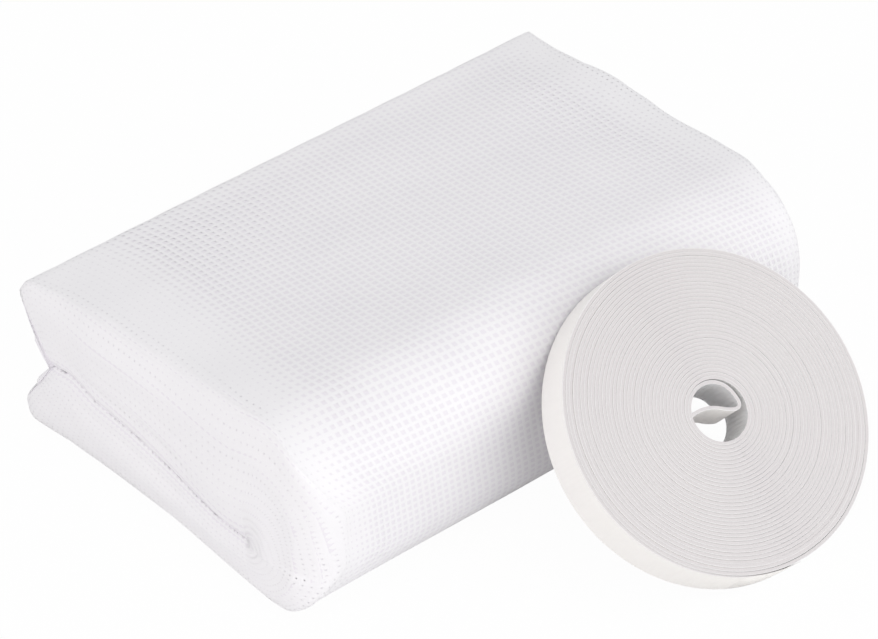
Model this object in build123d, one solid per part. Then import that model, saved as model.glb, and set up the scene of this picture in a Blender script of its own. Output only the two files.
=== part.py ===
from build123d import *
import math
import os

# A window insect screen as it is kept before it is put up: the net, folded to a thick pad, and
# the roll of self-adhesive hook tape that holds it to the window frame, leaning on the pad.
# Millimetres, +Z up. X runs along the pad, the spine of its last fold faces -Y, and the
# origin is in the middle of the whole thing, on the surface that it lies on.

# The pad
PAD_LENGTH = 174.0
PAD_DEPTH = 117.0  # from the spine back to the noses of the two leaves
SPINE_HEIGHT = 59.0  # of the top, carried on straight to the front of the spine
NOSE_HEIGHT = 46.0  # of the top, over the noses of the leaves
SPINE_WALL = 26.0  # net between the outside of the spine and the inside of its fold
SPINE_SHARE = 0.27  # of the height that the lower leaf takes, at the spine
NOSE_SHARE = 0.52  # and at the noses
SPINE_RADIUS_UNDER = 20.0
SPINE_RADIUS_OVER = 22.0
UPPER_STAGGER = 13.0  # how far the innermost fold of the upper leaf stands back
LOWER_SETBACK = 5.0  # how far the lower leaf ends before the upper one
LOWER_STAGGER = 9.0
FOLDS_PER_LEAF = 3  # hairpin folds at the noses of the upper leaf, two plies to each
PLY_GAP = 0.45
LEAF_GAP = 0.9  # between the two leaves
FOLD_ROUNDING = 0.44  # radius at a nose as a share of its thickness, just under a half round
END_ROUNDING = 10.0  # of the two ends of the pad, over the top and the spine
END_TUCK = 5.0  # how far under the surface the rounded end would go on
NOSE_ROUNDING = 6.0  # of the rounding body, behind the noses
WRAP = 1.0  # how far the rounding body stands off the pad's flat faces
CORNER_ROUNDING = 9.0  # seen from above
SPINE_CORNER_ROUNDING = 17.0  # the corner where the right end meets the spine

# The roll of tape
TAPE_WIDTH = 12.0
TAPE_THICKNESS = 0.8  # hooks, backing and release liner
TURN_GAP = 0.13
TURNS = 36
SIDES_PER_TURN = 18  # even; the covered turns are wound round this many flats
HUB_RADIUS = 8.0
TONGUE_BEND_RADIUS = 1.3  # of the sharp bend where the free inner end leaves the first turn
TONGUE_BEND = 105.0  # degrees that it turns there
TONGUE_CURVE_RADIUS = 11.0  # of the two gentle curves of the free inner end
TONGUE_SWEEPS = (20.0, 56.0)  # degrees of each, from the bend to the tip

# How the roll leans on the pad
LEAN = 39.8  # degrees between its disc and the surface
TURN = -3.0  # degrees that it is turned on the surface
ROLL_OFFSET = 18.0  # of its middle from the pad's middle, along X
CLEARANCE = 0.3

PLIES = 2 * FOLDS_PER_LEAF
SPINE_MIDDLE = SPINE_SHARE * SPINE_HEIGHT
NOSE_MIDDLE = NOSE_SHARE * NOSE_HEIGHT
TURN_PITCH = TAPE_THICKNESS + TURN_GAP
ROLL_RADIUS = HUB_RADIUS + TURNS * TURN_PITCH


def face_distance(ply, inner, leaf):
    """Distance of one face of a ply from the outside of its leaf, which is leaf thick."""
    pitch = leaf / PLIES
    if inner:
        return leaf if ply == PLIES - 1 else (ply + 1) * pitch - PLY_GAP / 2
    return ply * pitch + PLY_GAP / 2 if ply else 0.0


def under_nose(ply, inner):
    """Height of one face of a ply where the lower leaf ends."""
    return face_distance(ply, inner, NOSE_MIDDLE - LEAF_GAP / 2)


def over_nose(ply, inner):
    """Height of one face of a ply where the upper leaf ends."""
    return NOSE_HEIGHT - face_distance(ply, inner, NOSE_HEIGHT - NOSE_MIDDLE - LEAF_GAP / 2)


def spine_corners(ply, inner):
    """The two corners that one face of a ply turns round at the spine, from under to over."""
    front = face_distance(ply, inner, SPINE_WALL)
    under = face_distance(ply, inner, SPINE_MIDDLE - LEAF_GAP / 2)
    over = face_distance(ply, inner, SPINE_HEIGHT - SPINE_MIDDLE - LEAF_GAP / 2)
    left = 1 - front / SPINE_WALL
    inmost = FOLD_ROUNDING * LEAF_GAP
    return [
        (front, under, left * SPINE_RADIUS_UNDER + (1 - left) * inmost),
        (front, SPINE_HEIGHT - over, left * SPINE_RADIUS_OVER + (1 - left) * inmost),
    ]


def upper_end(ply):
    """How far back a ply reaches in the upper leaf, where plies 0 and 1, 2 and 3 join."""
    share = (2 * (ply // 2) + 1) / PLIES
    return PAD_DEPTH - UPPER_STAGGER * share**2


def lower_end(ply):
    """How far back a ply reaches in the lower leaf, where plies 1 and 2, 3 and 4 join."""
    share = 2 * ((ply + 1) // 2) / PLIES
    return PAD_DEPTH - LOWER_SETBACK - LOWER_STAGGER * share**2


def nose_corners(ply, inner, upper, outside):
    """Where one face of a ply ends at a nose: its place, and whether it goes round outside."""
    height = over_nose if upper else under_nose
    thickness = abs(height(ply, True) - height(ply, False))
    free = not upper and ply in (0, PLIES - 1)
    end = upper_end(ply) if upper else lower_end(ply)
    if free:
        return (end, height(ply, inner), FOLD_ROUNDING * thickness)
    even = ply % 2 == 0
    partner = ply + 1 if even == upper else ply - 1
    across = abs(height(partner, not inner) - height(ply, inner))
    back = end if outside else end - thickness
    return (back, height(ply, inner), FOLD_ROUNDING * across)


def net_side(side):
    """Corners along one side of the net, from its first edge to its last."""
    corners = []
    for ply in range(PLIES):
        rising = ply % 2 == 0
        inner = (ply + side) % 2 == 1
        under = nose_corners(ply, inner, False, side == 1)
        over = nose_corners(ply, inner, True, side == 0)
        pass_over = [under, *spine_corners(ply, inner), over]
        corners += pass_over if rising else pass_over[::-1]
    return corners


def folded_net():
    """The net as one sheet, passed round the spine again and again, with rounded ends."""
    corners = net_side(0) + net_side(1)[::-1]
    points = [(y, z) for y, z, radius in corners]
    radii = [radius for y, z, radius in corners]
    section = make_face(Plane.YZ * FilletPolyline(*points, radius=radii, close=True))
    plies = extrude(section, PAD_LENGTH / 2, both=True)
    room = Box(2 * PAD_LENGTH, 2 * PAD_LENGTH, 2 * PAD_LENGTH)
    return plies - (Pos(0, PAD_DEPTH / 2) * room - rounding_body())


def rounding_body():
    """A plain body round the pad, whose rounded ends and corners the plies are trimmed to."""
    points = [
        (-WRAP, -END_TUCK),
        (-WRAP, SPINE_HEIGHT + WRAP),
        (PAD_DEPTH + WRAP, NOSE_HEIGHT + WRAP),
        (PAD_DEPTH + WRAP, -END_TUCK),
    ]
    radii = [SPINE_RADIUS_UNDER, SPINE_RADIUS_OVER, NOSE_ROUNDING, NOSE_ROUNDING]
    section = make_face(Plane.YZ * FilletPolyline(*points, radius=radii, close=True))
    body = extrude(section, PAD_LENGTH / 2, both=True)
    ends = body.faces().sort_by(Axis.X)
    body = fillet(ends[0].edges() + ends[-1].edges(), END_ROUNDING)
    reach = 2 * SPINE_HEIGHT
    plan = Pos(0, PAD_DEPTH / 2) * Rectangle(PAD_LENGTH, PAD_DEPTH + 2 * WRAP)
    by_place = plan.vertices().sort_by(lambda v: v.Y - v.X)
    plan = fillet(by_place[1:], CORNER_ROUNDING)
    spine_right = plan.vertices().filter_by(lambda v: v.X > PAD_LENGTH / 2 - WRAP and v.Y < 0)
    plan = fillet(spine_right, SPINE_CORNER_ROUNDING)
    return body & extrude(plan, reach, both=True)


def polar(centre, radius, degrees):
    """The point at an angle round a centre."""
    angle = math.radians(degrees)
    return (centre[0] + radius * math.cos(angle), centre[1] + radius * math.sin(angle))


def turn_points(first_turn, last_turn, outward):
    """Points on one side of the tape, outward from its middle, over some of its turns."""
    steps = range(first_turn * SIDES_PER_TURN, last_turn * SIDES_PER_TURN + 1)
    start = HUB_RADIUS + TAPE_THICKNESS / 2 + outward
    return [
        polar((0, 0), start + TURN_PITCH * step / SIDES_PER_TURN, 360 * step / SIDES_PER_TURN)
        for step in steps
    ]


def arcs_through(points):
    """A smooth row of arcs, each one through three of the points."""
    return [ThreePointArc(*points[i : i + 3]) for i in range(0, len(points) - 1, 2)]


def tongue_side(outward):
    """One side of the free inner end: two gentle curves from its tip, then the sharp bend."""
    bend_centre = (HUB_RADIUS + TAPE_THICKNESS / 2 - TONGUE_BEND_RADIUS, 0.0)
    bend_start = -TONGUE_BEND
    joint = polar(bend_centre, TONGUE_BEND_RADIUS, bend_start)
    near_centre = polar(joint, -TONGUE_CURVE_RADIUS, bend_start)
    near_start = bend_start - TONGUE_SWEEPS[0]
    middle = polar(near_centre, TONGUE_CURVE_RADIUS, near_start)
    far_centre = polar(middle, TONGUE_CURVE_RADIUS, near_start)
    far_end = near_start + 180
    edges = [
        CenterArc(far_centre, TONGUE_CURVE_RADIUS - outward, far_end, TONGUE_SWEEPS[1]),
        CenterArc(near_centre, TONGUE_CURVE_RADIUS + outward, near_start, TONGUE_SWEEPS[0]),
        CenterArc(bend_centre, TONGUE_BEND_RADIUS + outward, bend_start, TONGUE_BEND),
    ]
    tip = polar(far_centre, TONGUE_CURVE_RADIUS - outward, far_end + TONGUE_SWEEPS[1])
    return edges, tip


def hook_tape_roll():
    """The tape wound on itself in one true spiral, face up, before it is leaned."""
    half = TAPE_THICKNESS / 2
    outer_tongue, outer_tip = tongue_side(half)
    inner_tongue, inner_tip = tongue_side(-half)
    rim = turn_points(TURNS - 1, TURNS, half)
    hub = turn_points(0, 1, -half)
    covered = turn_points(0, TURNS - 1, half)
    covering = turn_points(1, TURNS, -half)
    sides = [
        *outer_tongue,
        *Polyline(*covered).edges(),
        *arcs_through(rim),
        Line(rim[-1], covering[-1]),
        *Polyline(*covering).edges(),
        *arcs_through(hub),
        *inner_tongue,
        Line(inner_tip, outer_tip),
    ]
    return extrude(make_face(sides), -TAPE_WIDTH)


def leaning_place(roll):
    """Where the roll's front face sits so that its edge and the pad's spine carry it."""
    slope = (SPINE_HEIGHT - NOSE_HEIGHT) / PAD_DEPTH
    axis_y = SPINE_RADIUS_OVER
    axis_z = SPINE_HEIGHT - slope * SPINE_RADIUS_OVER - SPINE_RADIUS_OVER * math.hypot(1, slope)
    lean = math.radians(LEAN)
    drop = (Rot(Z=TURN) * Rot(X=LEAN) * roll).bounding_box().min.Z
    rear_z = -drop - TAPE_WIDTH * math.cos(lean)
    reach = SPINE_RADIUS_OVER + CLEARANCE
    rise = axis_z - rear_z
    run = (reach + rise * math.cos(lean)) / math.sin(lean)
    up_the_disc = run * math.cos(lean) + rise * math.sin(lean)
    half_chord = math.sqrt(max(ROLL_RADIUS**2 - up_the_disc**2, 0.0))
    run += abs(math.sin(math.radians(TURN))) * half_chord
    rear_y = axis_y - run
    front_y = rear_y - TAPE_WIDTH * math.sin(lean)
    return Pos(ROLL_OFFSET, front_y, -drop) * Rot(Z=TURN) * Rot(X=LEAN)


net = folded_net().solid()
flat_roll = hook_tape_roll()
roll = leaning_place(flat_roll) * flat_roll
box = net.bounding_box().add(roll.bounding_box())
to_origin = Pos(-box.center().X, -box.center().Y, -box.min.Z)

os.makedirs("parts", exist_ok=True)
export_step(to_origin * net, "parts/folded_net.step")
export_step(to_origin * roll, "parts/hook_tape_roll.step")
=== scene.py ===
"""The looks of a window insect screen: a folded white net and its roll of hook tape.

Lengths in this file are millimetres, and they turn to metres where a mesh is made.
"""

import logging
import math
from dataclasses import dataclass, field
from enum import Enum

import bpy
import numpy as np
from mathutils import Matrix, Vector

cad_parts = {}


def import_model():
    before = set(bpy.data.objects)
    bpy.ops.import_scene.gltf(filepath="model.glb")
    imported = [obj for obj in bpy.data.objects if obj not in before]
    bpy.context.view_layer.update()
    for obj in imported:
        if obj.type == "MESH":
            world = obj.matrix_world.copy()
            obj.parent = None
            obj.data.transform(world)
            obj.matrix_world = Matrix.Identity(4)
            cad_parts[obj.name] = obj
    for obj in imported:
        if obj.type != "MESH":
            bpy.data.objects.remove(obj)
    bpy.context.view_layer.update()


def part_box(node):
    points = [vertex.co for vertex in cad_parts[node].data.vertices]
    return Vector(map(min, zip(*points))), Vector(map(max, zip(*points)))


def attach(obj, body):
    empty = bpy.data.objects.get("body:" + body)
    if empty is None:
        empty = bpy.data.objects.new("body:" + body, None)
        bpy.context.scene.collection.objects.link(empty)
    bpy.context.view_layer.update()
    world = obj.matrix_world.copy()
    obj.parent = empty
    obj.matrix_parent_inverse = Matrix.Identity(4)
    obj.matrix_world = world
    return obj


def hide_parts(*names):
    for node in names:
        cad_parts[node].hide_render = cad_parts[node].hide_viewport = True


MM = 0.001
WAY_MAP = "way"  # the map that holds how far along the tape a place is, in metres
NO_LENGTH = 1e-9  # what a vector without length is divided by
WAVE_SPREAD = (0.7, 1.5)  # of a slow noise's wavelengths, as shares of its own length
MIX_NUMBERS = (2, 3)  # a Mix node's two number sockets
MIX_COLOURS = (6, 7)  # its two colour sockets
MIX_COLOUR_RESULT = 2
log = logging.getLogger("insect_screen")


class Layer(Enum):
    """Which of the two open layers of net a piece shows."""

    OUTER = "outer"
    UNDER = "under"


def srgb(code: str) -> tuple[float, float, float, float]:
    """Turns an sRGB hex colour to linear light.

    Args:
        code: Six hex digits, such as "f4f4f2".

    Returns:
        Red, green, blue and an alpha of 1.
    """
    parts = [int(code[i : i + 2], 16) / 255 for i in (0, 2, 4)]
    linear = [p / 12.92 if p <= 0.04045 else ((p + 0.055) / 1.055) ** 2.4 for p in parts]
    return (*linear, 1.0)


def add_node(tree: bpy.types.NodeTree, kind: str, settings: dict | None = None,
             links: dict | None = None) -> bpy.types.Node:
    """Adds one shader node.

    Args:
        tree: The node tree that it goes in.
        kind: Blender's name for the kind of node.
        settings: Values by the name of a socket, or of a property of the node.
        links: Output sockets by the name of the socket that each one feeds.

    Returns:
        The new node.
    """
    node = tree.nodes.new(kind)
    for name, value in (settings or {}).items():
        if hasattr(node, name):
            setattr(node, name, value)
        else:
            node.inputs[name].default_value = value
    for name, output in (links or {}).items():
        tree.links.new(output, node.inputs[name])
    return node


def new_material(name: str) -> tuple[bpy.types.Material, bpy.types.NodeTree]:
    """Makes a material whose node tree is empty.

    Args:
        name: What the material is, and how its surface was made.

    Returns:
        The material and its node tree.
    """
    material = bpy.data.materials.new(name)
    material.use_nodes = True
    material.node_tree.nodes.clear()
    return material, material.node_tree


def finish_surface(tree: bpy.types.NodeTree, shader: bpy.types.Node) -> None:
    """Feeds a shader to the material's output.

    Args:
        tree: The material's node tree.
        shader: The node whose first output is the surface.
    """
    add_node(tree, "ShaderNodeOutputMaterial", links={"Surface": shader.outputs[0]})


def noise_on(tree: bpy.types.NodeTree, size_mm: float, detail: float) -> bpy.types.NodeSocket:
    """Adds noise that keeps its place on the piece.

    Args:
        tree: The material's node tree.
        size_mm: About how wide its patches are.
        detail: How many finer noises are added to it.

    Returns:
        The noise, from 0 to 1.
    """
    place = add_node(tree, "ShaderNodeTexCoord")
    noise = add_node(
        tree, "ShaderNodeTexNoise",
        {"Scale": 1 / (size_mm * MM), "Detail": detail},
        {"Vector": place.outputs["Object"]},
    )
    return noise.outputs["Fac"]


def tone_between(tree: bpy.types.NodeTree, shade: str, colour: str,
                 share: bpy.types.NodeSocket) -> bpy.types.NodeSocket:
    """Adds a colour that wanders between two tones.

    Args:
        tree: The material's node tree.
        shade: The sRGB hex colour where the share is 0.
        colour: The sRGB hex colour where it is 1.
        share: How far the colour is from the first to the second.

    Returns:
        The colour.
    """
    mix = add_node(tree, "ShaderNodeMix", {"data_type": "RGBA"}, {"Factor": share})
    for socket, tone in zip(MIX_COLOURS, (shade, colour)):
        mix.inputs[socket].default_value = srgb(tone)
    return mix.outputs[MIX_COLOUR_RESULT]


def bump_from(tree: bpy.types.NodeTree, height: bpy.types.NodeSocket, strength: float,
              depth_mm: float) -> bpy.types.NodeSocket:
    """Adds the small relief of a surface.

    Args:
        tree: The material's node tree.
        height: The height of the relief.
        strength: How much of the relief is felt by the light.
        depth_mm: How high it is where the height is 1.

    Returns:
        The bent normal.
    """
    bump = add_node(
        tree, "ShaderNodeBump", {"Strength": strength, "Distance": depth_mm * MM},
        {"Height": height},
    )
    return bump.outputs["Normal"]


def ribs_across(tree: bpy.types.NodeTree, pitch_mm: float) -> bpy.types.NodeSocket:
    """Adds the height of even ribs that lie across a tape.

    Args:
        tree: The material's node tree.
        pitch_mm: From one rib to the next, along the tape.

    Returns:
        The height, from -1 to 1.
    """
    way = add_node(tree, "ShaderNodeUVMap", {"uv_map": WAY_MAP})
    parts = add_node(tree, "ShaderNodeSeparateXYZ", None, {"Vector": way.outputs["UV"]})
    turns = add_node(
        tree, "ShaderNodeMath", {"operation": "MULTIPLY"}, {0: parts.outputs["X"]}
    )
    turns.inputs[1].default_value = 2 * math.pi / (pitch_mm * MM)
    wave = add_node(tree, "ShaderNodeMath", {"operation": "SINE"}, {0: turns.outputs[0]})
    return wave.outputs[0]


@dataclass(frozen=True)
class PolyesterNet:
    """Finish of the open net: warp-knitted white polyester yarn, heat set.

    The yarn is matt and a little fuzzy, so it looks soft, with no highlight, and slightly
    uneven in tone where its filaments lie open or closed.
    """

    name: str = "polyester_net_warp_knitted"
    colour: str = "f8f7f9"
    shade: str = "f2f1f4"
    roughness: float = 0.62
    ior: float = 1.57
    sheen: float = 0.25
    sheen_roughness: float = 0.5
    filament_mm: float = 0.14  # width of one bundle of filaments in the yarn
    filament_bump: float = 0.25
    filament_detail: float = 1.0
    patch_mm: float = 26.0  # of the slow change of tone over the cloth
    patch_detail: float = 2.0

    def make(self) -> bpy.types.Material:
        """Builds the material.

        Returns:
            The material.
        """
        material, tree = new_material(self.name)
        patches = noise_on(tree, self.patch_mm, self.patch_detail)
        filaments = noise_on(tree, self.filament_mm, self.filament_detail)
        shader = add_node(
            tree, "ShaderNodeBsdfPrincipled",
            {"Roughness": self.roughness, "IOR": self.ior, "Sheen Weight": self.sheen,
             "Sheen Roughness": self.sheen_roughness},
            {"Base Color": tone_between(tree, self.shade, self.colour, patches),
             "Normal": bump_from(tree, filaments, self.filament_bump, self.filament_mm)},
        )
        finish_surface(tree, shader)
        return material


@dataclass(frozen=True)
class SlitEdge:
    """Finish of the woven nylon tape at its cut edges, a little grey and satin.

    The cut yarns lie open there, so the face of the roll is dull and finely mottled.
    """

    name: str = "nylon_hook_tape_slit_edge"
    colour: str = "dedada"
    shade: str = "d0cccd"
    roughness: float = 0.42
    ior: float = 1.53
    yarn_mm: float = 0.35
    yarn_detail: float = 2.0
    yarn_bump: float = 0.3
    bump_mm: float = 0.1

    def make(self) -> bpy.types.Material:
        """Builds the material.

        Returns:
            The material.
        """
        material, tree = new_material(self.name)
        yarn = noise_on(tree, self.yarn_mm, self.yarn_detail)
        shader = add_node(
            tree, "ShaderNodeBsdfPrincipled",
            {"Roughness": self.roughness, "IOR": self.ior},
            {"Base Color": tone_between(tree, self.shade, self.colour, yarn),
             "Normal": bump_from(tree, yarn, self.yarn_bump, self.bump_mm)},
        )
        finish_surface(tree, shader)
        return material


@dataclass(frozen=True)
class ReleaseLiner:
    """Finish of the liner over the adhesive: embossed, silicone-coated polyethylene film.

    It is off-white and satin, with fine ribs across the tape that the embossing roller left.
    """

    name: str = "polyethylene_release_liner_embossed"
    colour: str = "faf8f5"
    roughness: float = 0.4
    ior: float = 1.51
    rib_mm: float = 1.3
    rib_bump: float = 0.3
    rib_height_mm: float = 0.03

    def make(self) -> bpy.types.Material:
        """Builds the material.

        Returns:
            The material.
        """
        material, tree = new_material(self.name)
        ribs = ribs_across(tree, self.rib_mm)
        shader = add_node(
            tree, "ShaderNodeBsdfPrincipled",
            {"Base Color": srgb(self.colour), "Roughness": self.roughness, "IOR": self.ior},
            {"Normal": bump_from(tree, ribs, self.rib_bump, self.rib_height_mm)},
        )
        finish_surface(tree, shader)
        return material


@dataclass(frozen=True)
class TapeBack:
    """Finish of the tape's flat side: woven nylon, white, with a rib for each row of hooks.

    It is whiter than the slit edges, since light comes back from the whole width of the weave.
    """

    name: str = "nylon_hook_tape_woven_back"
    colour: str = "f8f6f6"
    roughness: float = 0.5
    ior: float = 1.53
    rib_mm: float = 1.25
    rib_bump: float = 0.6
    rib_height_mm: float = 0.08
    see_through: float = 0.8  # how much light the open nylon weave passes on inside itself
    glow_mm: float = 3.0  # how far that light goes
    glow_tint: tuple[float, float, float] = (1.0, 0.95, 0.95)  # of that way, by colour

    def make(self) -> bpy.types.Material:
        """Builds the material.

        Returns:
            The material.
        """
        material, tree = new_material(self.name)
        ribs = ribs_across(tree, self.rib_mm)
        shader = add_node(
            tree, "ShaderNodeBsdfPrincipled",
            {"Base Color": srgb(self.colour), "Roughness": self.roughness, "IOR": self.ior,
             "Subsurface Weight": self.see_through, "Subsurface Scale": self.glow_mm * MM,
             "Subsurface Radius": self.glow_tint},
            {"Normal": bump_from(tree, ribs, self.rib_bump, self.rib_height_mm)},
        )
        finish_surface(tree, shader)
        return material


@dataclass(frozen=True)
class SlowNoise:
    """Smooth noise made of a few sine waves, mostly within its height of zero."""

    height: float
    length: float  # about how far apart its hills are
    seed: int
    waves: int = 6

    def at(self, points: np.ndarray) -> np.ndarray:
        """Gives the noise at some places.

        Args:
            points: Places, the last axis their coordinates.

        Returns:
            One value for each place.
        """
        random = np.random.default_rng(self.seed)
        total = np.zeros(points.shape[:-1])
        for _ in range(self.waves):
            way = random.normal(size=points.shape[-1])
            way *= 2 * math.pi / (self.length * np.linalg.norm(way) * random.uniform(*WAVE_SPREAD))
            total += np.sin(points @ way + random.uniform(0, 2 * math.pi))
        return self.height * total / math.sqrt(self.waves)


def grid_normals(grid: np.ndarray) -> np.ndarray:
    """Unit normals of a surface given as a grid of points.

    Args:
        grid: Points, rows by columns by 3.

    Returns:
        One normal for each point.
    """
    along = np.gradient(grid, axis=0)
    across = np.gradient(grid, axis=1)
    normals = np.cross(along, across)
    return normals / np.maximum(np.linalg.norm(normals, axis=-1, keepdims=True), NO_LENGTH)


def rounded_corner(corner: np.ndarray, before: np.ndarray, after: np.ndarray, radius: float,
                   count: int) -> np.ndarray:
    """Points of the arc that rounds a corner of an outline.

    Args:
        corner: The corner.
        before: The corner before it.
        after: The corner after it.
        radius: Of the arc.
        count: How many points the arc gets.

    Returns:
        The points in order, one row each.
    """
    ways = [(other - corner) / np.linalg.norm(other - corner) for other in (before, after)]
    half_angle = math.acos(float(ways[0] @ ways[1])) / 2
    middle_way = (ways[0] + ways[1]) / np.linalg.norm(ways[0] + ways[1])
    centre = corner + middle_way * radius / math.sin(half_angle)
    start, end = (corner + way * radius / math.tan(half_angle) - centre for way in ways)
    sweep = math.pi - 2 * half_angle
    share = np.linspace(0, 1, count)[:, None]
    spots = np.sin((1 - share) * sweep) * start + np.sin(share * sweep) * end
    return centre + spots / math.sin(sweep)


def mesh_piece(name: str, points: np.ndarray, faces: list[list[int]],
               finishes: list[bpy.types.Material]) -> bpy.types.Object:
    """Makes a piece from points and faces, and lets it ride on the body.

    Args:
        name: The piece's name.
        points: Corners, one row each, in millimetres.
        faces: The corner numbers of each face.
        finishes: Its finishes, of which all faces take the first.

    Returns:
        The piece.
    """
    mesh = bpy.data.meshes.new(name)
    mesh.from_pydata((points.reshape(-1, 3) * MM).tolist(), [], faces)
    mesh.polygons.foreach_set("use_smooth", [True] * len(mesh.polygons))
    for finish in finishes:
        mesh.materials.append(finish)
    mesh.update()
    piece = bpy.data.objects.new(name, mesh)
    bpy.context.scene.collection.objects.link(piece)
    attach(piece, "root")
    log.info("%s: %d faces", name, len(mesh.polygons))
    return piece


def grid_faces(rows: int, columns: int, closed: bool = False) -> np.ndarray:
    """Four-sided faces between the points of a grid.

    Args:
        rows: How many rows of points there are.
        columns: How many points are in a row.
        closed: Whether the last point of a row joins the first.

    Returns:
        One row of four corner numbers for each face.
    """
    row, column = np.meshgrid(
        np.arange(rows - 1), np.arange(columns if closed else columns - 1), indexing="ij"
    )
    after = (column + 1) % columns
    corners = (
        row * columns + column, row * columns + after,
        (row + 1) * columns + after, (row + 1) * columns + column,
    )
    return np.stack(corners, axis=-1).reshape(-1, 4)


def open_cells(nodes: np.ndarray, sunk: np.ndarray, hole_share: np.ndarray,
               on_cloth: np.ndarray) -> tuple[np.ndarray, np.ndarray]:
    """Gives every cell of a grid a hole with threads round it that slope down to its rim.

    Args:
        nodes: Where the threads cross, rows by columns by 3.
        sunk: How the rim of a hole lies below the threads' tops, as a vector at each node.
        hole_share: How much of a cell's side its hole takes, at each node.
        on_cloth: Which nodes have cloth by them.

    Returns:
        The points, and one row of four point numbers for each face.
    """
    number = np.arange(hole_share.size).reshape(hole_share.shape)
    ring = [number[:-1, :-1], number[1:, :-1], number[1:, 1:], number[:-1, 1:]]
    kept = np.any([on_cloth.reshape(-1)[r] for r in ring], axis=0)
    ring = [r[kept] for r in ring]
    nodes = nodes.reshape(-1, 3)
    rim_drop = sunk.reshape(-1, 3)[ring[0]]
    side = (1 - hole_share.reshape(-1)[ring[0], None]) / 2
    inset = []
    for k in range(4):
        own, after, across, before = (nodes[ring[(k + m) % 4]] for m in range(4))
        spot = (
            own * (1 - side) ** 2 + after * side * (1 - side)
            + across * side**2 + before * side * (1 - side)
        )
        inset.append(spot - rim_drop)
    cells = len(rim_drop)
    hole = [len(nodes) + k * cells + np.arange(cells) for k in range(4)]
    faces = np.concatenate([
        np.stack((ring[k], ring[(k + 1) % 4], hole[(k + 1) % 4], hole[k]), axis=-1)
        for k in range(4)
    ])
    used, faces = np.unique(faces, return_inverse=True)
    return np.concatenate([nodes, *inset])[used], faces.reshape(-1, 4)


@dataclass(frozen=True)
class NetLayer:
    """How one of the two open layers of net is laid."""

    sink: float  # under the pad's skin
    turned: float  # share of the net's turn and bow that it has
    shift: float  # share of a hole by which its threads are shifted
    hole_share: float  # of a cell's side
    end_hole_share: float  # where the cloth bunches over an end and at the noses


@dataclass(frozen=True)
class Corner:
    """A rounded corner of the pad's section, and the place on its crease that it faces."""

    place: tuple[float, float]
    radius: float
    inner: tuple[float, float]


NET_LAYERS = {
    Layer.OUTER: NetLayer(sink=0.0, turned=1.0, shift=0.0, hole_share=0.57, end_hole_share=0.17),
    Layer.UNDER: NetLayer(sink=0.08, turned=0.93, shift=0.5, hole_share=0.25, end_hole_share=0.03),
}


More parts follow.
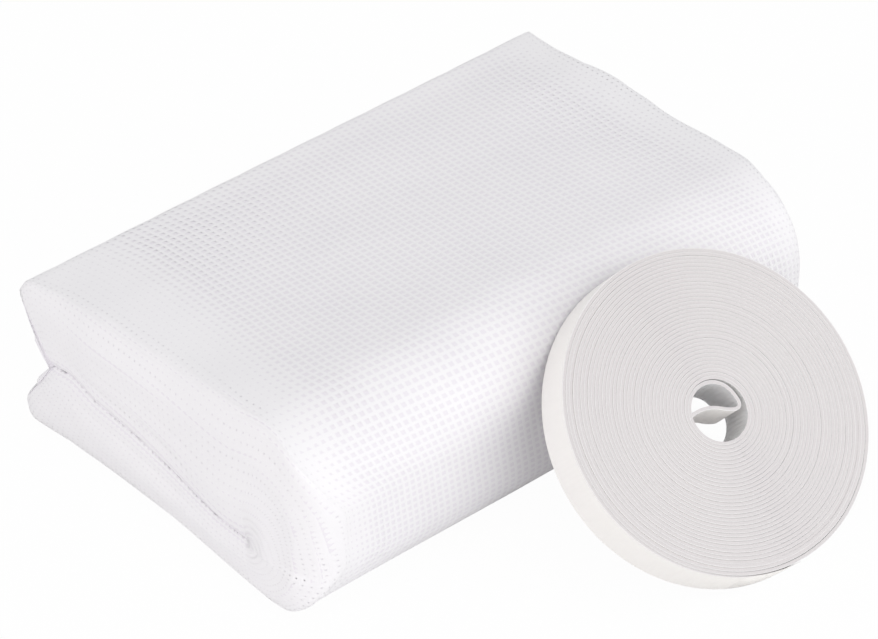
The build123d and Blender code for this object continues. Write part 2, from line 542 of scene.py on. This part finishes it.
@dataclass
class FoldedNet:
    """The net, folded to a pad of two leaves that join at the spine.

    A place on the pad's skin is given by u, the way along the cloth from the middle to an
    end and round it, and w, the way round the section from the notch between the two noses.
    A table of pairs gives a value at each of some places, and between them in proportion.
    """

    flat_width: float = 1500.0
    flat_height: float = 1300.0

    # The section
    spine_height: float = 59.0
    spine_radii: tuple[float, float] = (20.0, 22.0)  # under and over
    nose_height: float = 46.0
    # The two corners of each nose: how far before the back, height and radius.
    lower_nose: tuple[tuple[float, float, float], ...] = ((0.5, 6.5, 2.5), (1.5, 0.0, 3.0))
    upper_nose: tuple[tuple[float, float, float], ...] = ((3.5, 46.3, 4.0), (0.3, 41.0, 2.0))
    notch: tuple[float, float] = (103.0, 24.0)
    notch_gap: float = 0.1
    crease: tuple[tuple[float, float], ...] = (
        (27.0, 15.5), (39.0, 15.3), (56.0, 18.3), (72.0, 21.0), (86.0, 22.0), (95.0, 25.0),
        (101.0, 24.2), (103.0, 24.0),
    )  # the line between the leaves, from the spine back to the notch
    corner_points: int = 17
    section_points: int = 600

    # The ends
    leaf_thickness: float = 28.0
    end_rounding: float = 7.5
    end_fullness: float = 0.42  # the lower, the blunter an end
    end_sweep: float = 0.87  # of a half turn, from the top of a leaf to its crease
    end_points: int = 200
    end_softness: tuple[tuple[float, float], ...] = (
        (0.0, 0.3), (0.15, 0.8), (0.5, 1.1), (0.85, 0.8), (1.0, 0.2),
    )  # share of the full rounding, at shares of the depth; the noses are pressed flat
    right_setback: tuple[tuple[float, float], ...] = (
        (0.0, 10.5), (14.0, 9.2), (22.0, 7.6), (32.0, 5.9), (50.0, 3.6), (62.0, 2.2),
        (75.0, 2.2), (88.0, 3.2), (100.0, 2.8), (112.0, 2.2), (117.0, 4.0),
    )  # of the right end behind the full length, at distances from the spine
    left_setback: tuple[tuple[float, float], ...] = (
        (0.0, 11.0), (1.0, 6.4), (2.0, 4.7), (3.5, 3.0), (5.0, 1.8), (8.0, 0.4), (11.0, 0.0),
    )
    setback_power: int = 3  # how fast a setback fades from the end to the middle

    # The cloth's unevenness
    skin_depth: float = 0.5  # how far the cloth lies inside the pad's box
    swell: SlowNoise = SlowNoise(0.45, 60.0, 3)
    end_folds: tuple[SlowNoise, ...] = (SlowNoise(0.45, 10.0, 5), SlowNoise(0.2, 5.5, 8))
    end_folds_start: float = 5.0  # way past the sleeve over which the folds of an end begin
    end_folds_draw: float = 0.1  # how fast they change along the leaf, next to across it
    leaf_shift: float = 40.0  # so that the folds of the two leaves differ
    flat_under: float = 12.0  # height over which the swell begins
    flat_back: float = 30.0  # way from the noses over which swell and folds begin
    closed_reach: float = 8.0  # from the notch, over which the cloth comes to lie even
    settle_share: float = 0.2  # of an end, by the crease, over which it comes to lie even

    # The weave
    mesh_across: float = 2.11  # of one hole and one thread, along X
    mesh_along: float = 2.03
    top_bow: float = 0.08  # run of the threads that cross the top, over a rise of 1
    front_bow: float = 0.14  # and of the same threads down the spine
    falls: tuple[float, float] = (0.066, 0.15)  # of the long threads, at the spine and on top
    fall_reach: float = 20.0  # on each side of the spine's top, over which the fall changes
    spare: float = 24.0  # how far the turned threads are laid past the cloth, then trimmed
    thread_relief: float = 0.07
    end_relief: float = 0.1  # of the threads where they bunch over an end
    end_relief_reach: float = 3.0
    sink_spread: tuple[tuple[float, float], ...] = (
        (-1.0, 1.0), (1.5, 2.4), (5.0, 2.4), (9.0, 1.5),
    )  # how many times deeper a layer lies under the skin, at ways past the sleeve
    bunched_left: float = 16.0  # how far an end's cloth reaches on to the top, at the noses
    bunched_right: float = 5.0
    bunched_margin: float = 11.0  # how far it reaches on to the top everywhere
    opening_reach: float = 12.0  # way over which the holes open, from a bunched end
    nose_opening_reach: float = 14.0  # and from the noses

    # The plies inside
    plies: int = 48
    plies_sink: float = 0.26
    innermost: float = 0.97  # how deep the last ply lies, from the skin to the crease
    ply_stops: tuple[float, float] = (0.09, 0.91)  # where a ply turns back, round the section
    ply_points: tuple[int, int] = (66, 24)  # round the section and along the pad
    end_clearance: float = 2.6  # between the plies and the cloth over their ends

    # Taken from the frame
    front: float = field(init=False)
    back: float = field(init=False)
    depth: float = field(init=False)
    half: float = field(init=False)  # of the length

    # Sampled from the values above
    round_way: np.ndarray = field(init=False)  # ways round the section
    outer: np.ndarray = field(init=False)  # the skin there, Y and Z
    inner: np.ndarray = field(init=False)  # and the crease that it faces
    round_length: float = field(init=False)
    spine_way: float = field(init=False)  # where the section is highest
    end_way: np.ndarray = field(init=False)  # ways round an end
    end_depth: np.ndarray = field(init=False)  # share from the skin to the crease there
    end_reach: np.ndarray = field(init=False)  # and how far out
    sleeve_half: float = field(init=False)  # of the length between the rounded ends
    cloth_half: float = field(init=False)

    def __post_init__(self) -> None:
        """Takes the pad's place from the frame and lays out its section and its end."""
        low, high = (np.array(corner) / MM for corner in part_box("folded_net"))
        self.front, self.back = low[1], high[1]
        self.depth = self.back - self.front
        self.half = (high[0] - low[0]) / 2
        self._lay_out_section()
        self._lay_out_end()

    def _section_corners(self) -> list[Corner]:
        """Corners of the section, from the notch under the upper nose round to its top.

        Returns:
            The corners in order.
        """
        def nose(places: tuple[tuple[float, float, float], ...],
                 inner: tuple[tuple[float, float], ...]) -> list[Corner]:
            """The two corners of a nose."""
            return [
                Corner((self.depth - setback, height), radius, partner)
                for (setback, height, radius), partner in zip(places, inner)
            ]

        notch_y, notch_z = self.notch
        start, by_notch = self.crease[0], self.crease[-2]
        return [
            Corner((notch_y, notch_z - self.notch_gap / 2), 0.0, self.notch),
            *nose(self.lower_nose, (self.notch, by_notch)),
            Corner((0.0, 0.0), self.spine_radii[0], start),
            Corner((0.0, self.spine_height), self.spine_radii[1], start),
            *nose(self.upper_nose, (by_notch, self.notch)),
            Corner((notch_y, notch_z + self.notch_gap / 2), 0.0, self.notch),
        ]

    def _lay_out_section(self) -> None:
        """Samples the rounded section and its partner line on the crease."""
        corners = self._section_corners()
        places = [np.array(corner.place) for corner in corners]
        outer = [places[0][None]]
        inner = [corners[0].inner]
        for i, corner in enumerate(corners[1:-1], start=1):
            outer.append(rounded_corner(
                places[i], places[i - 1], places[i + 1], corner.radius, self.corner_points
            ))
            inner += [corner.inner] * self.corner_points
        rough = np.concatenate([*outer, places[-1][None]])
        partners = np.array([*inner, corners[-1].inner])
        steps = np.linalg.norm(np.diff(rough, axis=0), axis=1)
        way = np.concatenate(([0.0], np.cumsum(steps)))
        self.round_length = way[-1]
        self.round_way = np.linspace(0, way[-1], self.section_points)
        inner_y = np.interp(self.round_way, way, partners[:, 0])
        self.inner = np.stack((inner_y, np.interp(inner_y, *np.array(self.crease).T)), axis=-1)
        self.outer = np.stack(
            [np.interp(self.round_way, way, rough[:, k]) for k in (0, 1)], axis=-1
        )
        self.spine_way = self.round_way[np.argmax(self.outer[:, 1])]

    def _lay_out_end(self) -> None:
        """Samples the rounded end of a leaf: how deep it is and how far out."""
        angle = np.linspace(0, math.pi * self.end_sweep, self.end_points)
        self.end_depth = (1 - np.cos(angle)) / (1 - math.cos(angle[-1]))
        self.end_reach = self.end_rounding * np.sin(angle) ** self.end_fullness
        steps = np.hypot(
            np.diff(self.end_depth * self.leaf_thickness), np.diff(self.end_reach)
        )
        self.end_way = np.concatenate(([0.0], np.cumsum(steps)))
        self.sleeve_half = self.half - self.end_rounding
        self.cloth_half = self.sleeve_half + self.end_way[-1]

    def places(self, u: np.ndarray, w: np.ndarray, depth: np.ndarray | float = 0.0) -> np.ndarray:
        """Finds places in the pad.

        Args:
            u: Ways along the cloth, where 0 is the middle of the pad.
            w: Ways round the section.
            depth: Share of the way in from the skin to the crease, for plies inside.

        Returns:
            Places, the last axis X, Y and Z.
        """
        past = np.clip(np.abs(u) - self.sleeve_half, 0, None)
        deep = np.clip(self._end_share(u) + depth, 0, 1)
        reach = np.interp(past, self.end_way, self.end_reach) - self.end_rounding
        outer_y, outer_z, inner_y, inner_z = (
            np.interp(w, self.round_way, line[:, k])
            for line in (self.outer, self.inner) for k in (0, 1)
        )
        y = outer_y + deep * (inner_y - outer_y)
        z = outer_z + deep * (inner_z - outer_z)
        stretch = np.minimum(np.abs(u) / self.sleeve_half, 1)
        x = np.sign(u) * stretch * (self.half + reach * self._softness(y))
        near_end = np.sign(x) * np.abs(x / self.half) ** self.setback_power
        right = np.interp(y, *np.array(self.right_setback).T)
        left = np.interp(y, *np.array(self.left_setback).T)
        x = x - near_end * np.where(x > 0, right, left)
        return np.stack((x, y + self.front, z), axis=-1)

    def _end_share(self, u: np.ndarray) -> np.ndarray:
        """How far a place on the cloth over an end has come from the skin to the crease.

        Args:
            u: Ways along the cloth.

        Returns:
            A share for each place, 0 on the sleeve.
        """
        return np.interp(np.abs(u) - self.sleeve_half, self.end_way, self.end_depth)

    def _softness(self, y: np.ndarray) -> np.ndarray:
        """How rounded the ends are, as a share of the full rounding.

        Args:
            y: Distances from the spine.

        Returns:
            A share for each place.
        """
        return np.interp(y / self.depth, *np.array(self.end_softness).T)

    def unevenness(self, grid: np.ndarray, u: np.ndarray) -> np.ndarray:
        """How far the soft cloth stands off its even shape.

        Args:
            grid: Places on the even shape.
            u: Ways along the cloth at those places.

        Returns:
            Distances along the normal.
        """
        past = np.abs(u) - self.sleeve_half
        on_end = np.clip(past / self.end_folds_start, 0, 1)
        from_back = np.clip((self.back - grid[..., 1]) / self.flat_back, 0, 1)
        swell = self.swell.at(grid) * np.clip(grid[..., 2] / self.flat_under, 0, 1) * from_back
        over = grid[..., 2] > np.interp(grid[..., 1] - self.front, *np.array(self.crease).T)
        across = np.stack(
            (past + self.leaf_shift * over, self.end_folds_draw * grid[..., 1]), axis=-1
        )
        folds = sum(noise.at(across) for noise in self.end_folds)
        notch_y, notch_z = self.notch
        from_notch = np.hypot(grid[..., 1] - self.front - notch_y, grid[..., 2] - notch_z)
        closed = np.clip(from_notch / self.closed_reach, 0, 1)
        uneven = swell - self.skin_depth + on_end * from_back * folds
        return uneven * closed * self._settle(u)

    def _settle(self, u: np.ndarray) -> np.ndarray:
        """Share of the cloth's unevenness that is left, none where it meets the crease.

        Args:
            u: Ways along the cloth.

        Returns:
            A share for each place.
        """
        return np.clip((1 - self._end_share(u)) / self.settle_share, 0, 1)

    def weave(self, layer: Layer, finish: bpy.types.Material) -> bpy.types.Object:
        """Builds one open layer of net with its real threads and holes.

        Args:
            layer: The outermost layer or the one under it.
            finish: The net's material.

        Returns:
            The piece.
        """
        laid = NET_LAYERS[layer]
        u, w = self._crossings(laid)
        margin = self.mesh_along / 2
        on_cloth = (
            (np.abs(u) < self.cloth_half + margin) & (w > -margin)
            & (w < self.round_length + margin)
        )
        u = np.clip(u, -self.cloth_half, self.cloth_half)
        w = np.clip(w, 0, self.round_length)
        even = self.places(u, w)
        normals = self._outward(even)
        past = np.abs(u) - self.sleeve_half
        spread = np.interp(past, *np.array(self.sink_spread).T)
        off = self.unevenness(even, u) - laid.sink * spread * self._settle(u)
        bent = np.clip(past / self.end_relief_reach, 0, 1)
        relief = self.thread_relief + (self.end_relief - self.thread_relief) * bent
        points, faces = open_cells(
            even + normals * off[..., None], normals * relief[..., None],
            self._hole_share(laid, even, u), on_cloth,
        )
        return mesh_piece(
            f"net_weave_{layer.value}", points, faces.tolist(), [finish]
        )

    def _crossings(self, laid: NetLayer) -> tuple[np.ndarray, np.ndarray]:
        """Lays out where the threads of a layer cross, past the cloth's edges too.

        Args:
            laid: How the layer is laid.

        Returns:
            The ways along the cloth and round the section.
        """
        reach = self.cloth_half + self.spare
        u_line = np.arange(-reach, reach, self.mesh_across)
        w_line = np.arange(-self.spare, self.round_length + self.spare, self.mesh_along)
        u, w = np.meshgrid(
            u_line + laid.shift * self.mesh_across, w_line + laid.shift * self.mesh_along,
            indexing="ij",
        )
        past_spine = w - self.spine_way
        bow = (
            self.top_bow * np.clip(past_spine, 0, None)
            + self.front_bow * np.clip(-past_spine, 0, self.spine_height)
        )
        fall = np.interp(past_spine, (-self.fall_reach, self.fall_reach), self.falls)
        return u + laid.turned * bow, w - laid.turned * fall * u

    def _hole_share(self, laid: NetLayer, grid: np.ndarray, u: np.ndarray) -> np.ndarray:
        """How much of a cell's side its hole takes.

        Args:
            laid: How the layer is laid.
            grid: Places on the skin.
            u: Ways along the cloth at those places.

        Returns:
            A share for each place.
        """
        to_back = np.clip((grid[..., 1] - self.front) / self.depth, 0, 1)
        at_noses = np.where(u < 0, self.bunched_left, self.bunched_right)
        reach = self.bunched_margin + at_noses * to_back
        from_end = (self.sleeve_half - reach - np.abs(u)) / self.opening_reach + 1
        from_noses = (1 - to_back) * self.depth / self.nose_opening_reach
        open_part = np.clip(from_end, 0, 1) * np.clip(from_noses, 0, 1)
        return laid.end_hole_share + (laid.hole_share - laid.end_hole_share) * open_part

    def _outward(self, grid: np.ndarray) -> np.ndarray:
        """Unit normals of a grid round the pad, pointing out.

        Args:
            grid: Places on the skin or on a ply.

        Returns:
            One normal for each place.
        """
        normals = grid_normals(grid)
        middle = np.array((0.0, self.front + self.depth / 2, self.nose_height / 2))
        return normals if float(((grid - middle) * normals).sum()) > 0 else -normals

    def folds(self, finish: bpy.types.Material) -> bpy.types.Object:
        """Builds the whole net as one sheet, passed round the spine ply by ply.

        Args:
            finish: The material of the plies inside.

        Returns:
            The piece.
        """
        stops = np.linspace(*self.ply_stops, self.ply_points[0])
        across = np.linspace(-1, 1, self.ply_points[1])
        rows = []
        for ply, depth in enumerate(
            np.linspace(self.plies_sink / self.leaf_thickness, self.innermost, self.plies)
        ):
            reach = float(np.interp(depth, self.end_depth, self.end_reach))
            turned = stops if ply % 2 == 0 else stops[::-1]
            w, u = np.meshgrid(turned * self.round_length, across * self.sleeve_half, indexing="ij")
            sheet = self.places(u, w, depth)
            soft = self._softness(sheet[..., 1] - self.front)
            sheet[..., 0] -= across[None, :] * (self.end_clearance - reach * soft)
            swell = self.unevenness(sheet, 0 * u) * (1 - depth)
            rows.append(sheet + self._outward(sheet) * swell[..., None])
        grid = np.concatenate(rows)
        faces = grid_faces(grid.shape[0], grid.shape[1])
        return mesh_piece("net_folds", grid, faces.tolist(), [finish])

    def build(self) -> None:
        """Builds and dresses the pad's pieces."""
        net = PolyesterNet().make()
        # The second layer shows through the holes of the first, painted greyer for lying in its
        # shade.
        shaded = PolyesterNet(
            name="polyester_net_second_layer_painted_shade", colour="f2eff4", shade="eae7ed"
        ).make()
        # The plies under both look like one even white, with a faint touch of violet.
        # Their colour is painted greyer than the net, as painted shade for lying deep under the
        # layers.
        inside = PolyesterNet(
            name="polyester_net_many_plies_painted_shade", colour="f1eff4", shade="eae8ee"
        ).make()
        outer = self.weave(Layer.OUTER, net)
        under = self.weave(Layer.UNDER, shaded)
        plies = self.folds(inside)
        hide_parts("folded_net")


@dataclass
class TapeRoll:
    """The roll of hook tape, wound 36 times on itself, with its free inner end.

    It is made with its front face on the plane z = 0 and its axis along Z, then leaned.
    """

    turns: float = 35.75  # so the outer end lies under the roll
    width: float = 12.0
    hub_radius: float = 7.1
    pitch: float = 0.967
    steps_per_turn: int = 96

    # The two strips
    tape_thickness: float = 0.7
    tape_edge: float = 0.05  # how far the middle of a strip's edge stands out from its sides
    liner_thickness: float = 0.2
    liner_edge: float = 0.03
    liner_gap: float = 0.01
    proud: SlowNoise = SlowNoise(0.05, 1.7, 11)  # how a turn stands in front of its neighbours
    sharp_angle: float = 40.0  # degrees, past which an edge of a strip is shown sharp

    # The innermost and the outermost turns
    loosened: float = 1.1  # how far the innermost turn has come in from the next, at its bend
    slack_turns: float = 4.0  # outermost ones, which have opened a little on one side
    slack: float = 0.35
    slack_angle: float = 0.9  # radians from the widest gap on to the start of a turn
    pressed_end: float = 0.2  # of a turn, over which the outer end is pressed down
    pressed_share: float = 0.06  # of the thickness that is left at its tip

    # The free inner end
    bend_radius: float = 1.3
    bend: float = 105.0  # degrees
    curve_radius: float = 11.0
    sweeps: tuple[float, float] = (20.0, 56.0)  # degrees of its two gentle curves
    curve_steps: tuple[int, int, int] = (14, 8, 14)  # along its two curves and its bend

    # How it leans
    middle: tuple[float, float, float] = (18.0, -57.32, 36.0)  # of its front face
    lean: float = 39.8  # degrees between the disc and the surface
    turn: float = -3.0  # degrees that it is turned on the surface

    def centreline(self) -> tuple[np.ndarray, np.ndarray]:
        """The tape's way in the plane of the disc, from its free inner end outward.

        Returns:
            Places along it, and its unit normals that point outward from the hub.
        """
        start = self.hub_radius + self.tape_thickness / 2
        steps = round(self.turns * self.steps_per_turn)
        angle = np.arange(steps + 1) * 2 * math.pi / self.steps_per_turn
        turn = angle / (2 * math.pi)
        radius = start + self.pitch * turn - self.loosened * np.exp(-angle**2)
        loose = np.clip((turn - (self.turns - self.slack_turns)) / self.slack_turns, 0, 1)
        one_side = np.clip(np.cos(angle + self.slack_angle), 0, 1) ** 2
        radius = radius - self.slack * 4 * loose * (1 - loose) * one_side
        spiral = np.stack((radius * np.cos(angle), radius * np.sin(angle)), axis=-1)
        tongue = self._tongue(start - self.loosened)
        line = np.concatenate((tongue, spiral[1:]))
        way = np.gradient(line, axis=0)
        way /= np.linalg.norm(way, axis=1, keepdims=True)
        normals = np.stack((way[:, 1], -way[:, 0]), axis=-1)
        return line, normals

    def _tongue(self, start: float) -> np.ndarray:
        """The free inner end: two gentle curves, then the sharp bend.

        Args:
            start: Radius at which the first turn begins.

        Returns:
            Places from its tip to the start of the first turn.
        """
        def spot(degrees: float | np.ndarray) -> np.ndarray:
            """The unit vector at an angle."""
            angle = np.radians(degrees)
            return np.stack((np.cos(angle), np.sin(angle)), axis=-1)

        def arc(centre: np.ndarray, radius: float, a: float, b: float, count: int) -> np.ndarray:
            """Points of an arc, its last one left out."""
            return centre + radius * spot(np.linspace(a, b, count, endpoint=False))

        bend_centre = np.array((start - self.bend_radius, 0.0))
        joint = bend_centre + self.bend_radius * spot(-self.bend)
        near_centre = joint - self.curve_radius * spot(-self.bend)
        near_start = -self.bend - self.sweeps[0]
        middle = near_centre + self.curve_radius * spot(near_start)
        far_centre = middle + self.curve_radius * spot(near_start)
        far_end = near_start + 180
        far, near, bent = self.curve_steps
        return np.concatenate((
            arc(far_centre, self.curve_radius, far_end + self.sweeps[1], far_end, far),
            arc(near_centre, self.curve_radius, near_start, -self.bend, near),
            arc(bend_centre, self.bend_radius, -self.bend, 0, bent),
            np.array([[start, 0.0]]),
        ))

    def band(self, name: str, inner: float, outer: float, edge: float,
             finishes: list[bpy.types.Material]) -> bpy.types.Object:
        """Builds one strip wound along the tape's way.

        Args:
            name: The piece's name.
            inner: Where its inner face is, outward from the middle of the tape.
            outer: Where its outer face is.
            edge: How far the middle of its edge stands out from the edge's sides.
            finishes: The materials of its edges and of its flat sides.

        Returns:
            The piece.
        """
        line, normals = self.centreline()
        count = len(line)
        middle = (inner + outer) / 2
        front = [(inner, -edge), (middle, 0.0), (outer, -edge)]
        rear = [(offset, -self.width - z) for offset, z in front[::-1]]
        turn = np.arange(count)[:, None] / self.steps_per_turn
        lift = self.proud.at(turn) - self.proud.height
        thin = np.clip((turn[-1] - turn) / self.pressed_end, self.pressed_share, 1)
        within = -self.tape_thickness / 2
        rings = [
            np.column_stack((line + normals * (within + (offset - within) * thin), z + rise))
            for profile, rise in ((front, lift), (rear, -lift)) for offset, z in profile
        ]
        corners = len(rings)
        faces = grid_faces(count, corners, closed=True)
        flat_sides = (len(front) - 1, corners - 1)
        flat = np.isin(np.arange(len(faces)) % corners, flat_sides).astype(int)
        caps = [list(range(corners))[::-1], [(count - 1) * corners + k for k in range(corners)]]
        piece = mesh_piece(
            name, np.stack(rings, axis=1), faces.tolist() + caps, finishes
        )
        piece.data.polygons.foreach_set("material_index", np.append(flat, [0] * len(caps)))
        steps = np.linalg.norm(np.diff(line, axis=0), axis=1)
        way = np.concatenate(([0.0], np.cumsum(steps))) * MM
        self._map_way(piece.data, np.repeat(way, corners))
        piece.data.transform(self.place())
        piece.data.set_sharp_from_angle(angle=math.radians(self.sharp_angle))
        return piece

    def _map_way(self, mesh: bpy.types.Mesh, way: np.ndarray) -> None:
        """Stores how far along the tape each corner of a mesh is.

        Args:
            mesh: The mesh.
            way: The distance of each of its points.
        """
        numbers = np.zeros(len(mesh.loops), dtype=int)
        mesh.loops.foreach_get("vertex_index", numbers)
        along = np.stack((way[numbers], np.zeros(len(numbers))), axis=-1)
        mesh.uv_layers.new(name=WAY_MAP).data.foreach_set("uv", along.reshape(-1))

    def place(self) -> Matrix:
        """Where the disc leans, in metres.

        Returns:
            The matrix from the disc to the frame.
        """
        return (
            Matrix.Translation(Vector(self.middle) * MM)
            @ Matrix.Rotation(math.radians(self.turn), 4, "Z")
            @ Matrix.Rotation(math.radians(self.lean), 4, "X")
        )

    def build(self) -> None:
        """Builds and dresses the roll's pieces."""
        half = self.tape_thickness / 2
        under_liner = half + self.liner_gap
        # The liner's cut edge is a thin bright line between the greyer turns of tape.
        slit_liner = SlitEdge(name="polyethylene_liner_slit_edge", colour="eae8e8", shade="e2e0e1")
        tape = self.band(
            "hook_tape_turns", -half, half, self.tape_edge, [SlitEdge().make(), TapeBack().make()]
        )
        self.band(
            "release_liner", under_liner, under_liner + self.liner_thickness, self.liner_edge,
            [slit_liner.make(), ReleaseLiner().make()],
        )
        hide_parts("hook_tape_roll")


@dataclass(frozen=True)
class Lamp:
    """One soft square lamp that points at the object, placed and sized in metres."""

    name: str
    place: tuple[float, float, float]
    size: float
    power: float  # in watts
    colour: str

    def hang(self) -> None:
        """Adds the lamp to the scene."""
        data = bpy.data.lights.new(self.name, "AREA")
        data.size = self.size
        data.energy = self.power
        data.color = srgb(self.colour)[:3]
        lamp = bpy.data.objects.new(self.name, data)
        lamp.location = self.place
        lamp.rotation_mode = "QUATERNION"
        lamp.rotation_quaternion = (-Vector(self.place)).to_track_quat("-Z", "Y")
        bpy.context.scene.collection.objects.link(lamp)


@dataclass
class Studio:
    """Pale floor, soft lamps and the camera, none of them part of the object."""

    floor_colour: str = "f2f2f2"
    floor_size: float = 4.0  # in metres
    floor_whiteness: float = 0.97  # how far the camera sees the floor as plain white
    world_strength: float = 0.765
    lamps: tuple[Lamp, ...] = (
        Lamp("front_lamp", (0.3, -1.1, 0.42), 1.3, 5.7, "ffffff"),
        Lamp("left_lamp", (-1.2, -0.3, 0.5), 0.9, 3.2, "fff8f9"),
    )
    camera_azimuth: float = -41.0  # degrees, and so is the next
    camera_elevation: float = 38.0
    camera_place: tuple[float, float, float] = (-594.1, -657.0, 731.8)
    lens: float = 184.5
    sensor: float = 36.0

    def build(self) -> None:
        """Builds the floor, the world, the lamps and the camera."""
        self._floor()
        self._world()
        for lamp in self.lamps:
            lamp.hang()
        self._camera()

    def _floor(self) -> None:
        """Lays a pale floor that shows white to the camera and keeps the shadow."""
        material, tree = new_material("studio_floor_matt_paper")
        diffuse = add_node(tree, "ShaderNodeBsdfDiffuse", {"Color": srgb(self.floor_colour)})
        white = add_node(tree, "ShaderNodeEmission", {"Strength": 1.0})
        path = add_node(tree, "ShaderNodeLightPath")
        seen = add_node(
            tree, "ShaderNodeMath", {"operation": "MULTIPLY"},
            {0: path.outputs["Is Camera Ray"]},
        )
        seen.inputs[1].default_value = self.floor_whiteness
        mixed = add_node(
            tree, "ShaderNodeMixShader", None,
            {0: seen.outputs[0], 1: diffuse.outputs[0], 2: white.outputs[0]},
        )
        finish_surface(tree, mixed)
        half = self.floor_size / 2
        mesh = bpy.data.meshes.new("floor")
        mesh.from_pydata(
            [(-half, -half, 0), (half, -half, 0), (half, half, 0), (-half, half, 0)], [],
            [(0, 1, 2, 3)],
        )
        mesh.materials.append(material)
        floor = bpy.data.objects.new("floor", mesh)
        bpy.context.scene.collection.objects.link(floor)

    def _world(self) -> None:
        """Fills the room with soft light and shows white behind the object."""
        world = bpy.data.worlds.new("studio")
        world.use_nodes = True
        tree = world.node_tree
        tree.nodes.clear()
        path = add_node(tree, "ShaderNodeLightPath")
        strength = add_node(
            tree, "ShaderNodeMix", {"data_type": "FLOAT"},
            {0: path.outputs["Is Camera Ray"]},
        )
        for socket, value in zip(MIX_NUMBERS, (self.world_strength, 1.0)):
            strength.inputs[socket].default_value = value
        light = add_node(
            tree, "ShaderNodeBackground", {"Color": (1.0, 1.0, 1.0, 1.0)},
            {"Strength": strength.outputs[0]},
        )
        add_node(tree, "ShaderNodeOutputWorld", None, {"Surface": light.outputs[0]})
        bpy.context.scene.world = world

    def _camera(self) -> None:
        """Sets the camera at the photograph's viewing angle."""
        azimuth = math.radians(self.camera_azimuth)
        elevation = math.radians(self.camera_elevation)
        back = Vector((
            math.sin(azimuth) * math.cos(elevation),
            -math.cos(azimuth) * math.cos(elevation),
            math.sin(elevation),
        ))
        data = bpy.data.cameras.new("camera")
        data.lens = self.lens
        data.sensor_width = self.sensor
        camera = bpy.data.objects.new("camera", data)
        camera.location = Vector(self.camera_place) * MM
        camera.rotation_mode = "QUATERNION"
        camera.rotation_quaternion = (-back).to_track_quat("-Z", "Y")
        bpy.context.scene.collection.objects.link(camera)
        bpy.context.scene.camera = camera


def main() -> None:
    """Builds the part's looks and the studio."""
    logging.basicConfig(level=logging.INFO, format="%(name)s: %(message)s")
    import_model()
    bpy.context.scene.view_settings.view_transform = "Standard"
    FoldedNet().build()
    TapeRoll().build()
    Studio().build()


if __name__ == "__main__":
    main()
